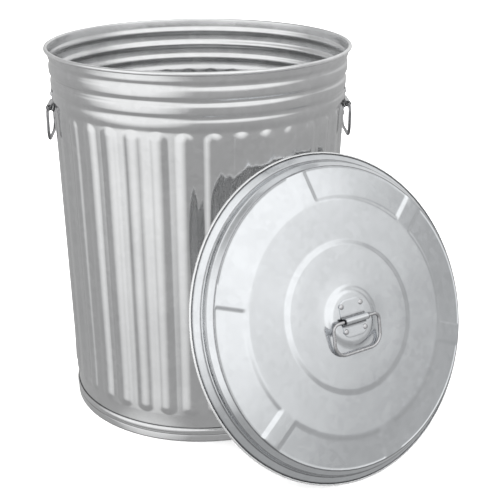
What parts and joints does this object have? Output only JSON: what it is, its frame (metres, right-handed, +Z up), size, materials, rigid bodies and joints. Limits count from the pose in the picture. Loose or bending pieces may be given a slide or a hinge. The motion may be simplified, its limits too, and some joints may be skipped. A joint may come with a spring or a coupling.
{
  "type": "galvanised steel waste can",
  "caption": "Round fluted galvanised steel waste can with a rolled rim, base hoop and side drop bails, its loose stepped lid with a bail leaning against it.",
  "frame": {"origin": "on the floor, under the middle of the box that holds the standing can and the lid leaning against it", "axes": "+Z up along the can's axis; the can's bails are on its -X and +X sides; the lid leans at the front, towards -Y and +X"},
  "size_m": [0.7247, 0.7282, 0.6605],
  "materials": {
    "can_sheet": "galvanised, satin",
    "lid_sheet": "galvanised, satin, slightly blue",
    "fittings": "zinc plated, satin",
    "wire": "zinc plated, bright"
  },
  "bodies": {
    "can": {"can_wall": "can_sheet", "rim_wire": "wire", "can_bottom": "can_sheet", "base_ring": "can_sheet", "left_handle_plate": "fittings", "left_handle_rivet_1": "fittings", "left_handle_rivet_2": "fittings", "left_handle_rivet_3": "fittings", "left_handle_rivet_4": "fittings", "right_handle_plate": "fittings", "right_handle_rivet_1": "fittings", "right_handle_rivet_2": "fittings", "right_handle_rivet_3": "fittings", "right_handle_rivet_4": "fittings"},
    "left_bail": {"left_handle_bail": "wire"},
    "right_bail": {"right_handle_bail": "wire"},
    "lid": {"lid_pan": "lid_sheet", "lid_hem_wire": "wire", "lid_handle_plate": "fittings", "lid_handle_rivet_1": "fittings", "lid_handle_rivet_2": "fittings", "lid_handle_rivet_3": "fittings", "lid_handle_rivet_4": "fittings"},
    "lid_bail": {"lid_handle_bail": "wire"}
  },
  "joints": [
    {"name": "left_bail_swing", "type": "hinge", "parent": "can", "child": "left_bail", "pos_m": [-0.35699, 0.0951, 0.55155], "axis": [0, 1, 0], "range_deg": [-6, 175]},
    {"name": "right_bail_swing", "type": "hinge", "parent": "can", "child": "right_bail", "pos_m": [0.17259, 0.0951, 0.55155], "axis": [0, -1, 0], "range_deg": [-6, 175]},
    {"name": "lid_lift_off", "type": "slide", "parent": "can", "child": "lid", "axis": [0.4828, -0.7963, 0.3645], "range_m": [0, 0.45]},
    {"name": "lid_bail_swing", "type": "hinge", "parent": "lid", "child": "lid_bail", "pos_m": [0.14986, -0.23703, 0.27213], "axis": [-0.8551, -0.5185, 0], "range_deg": [0, 190]}
  ]
}
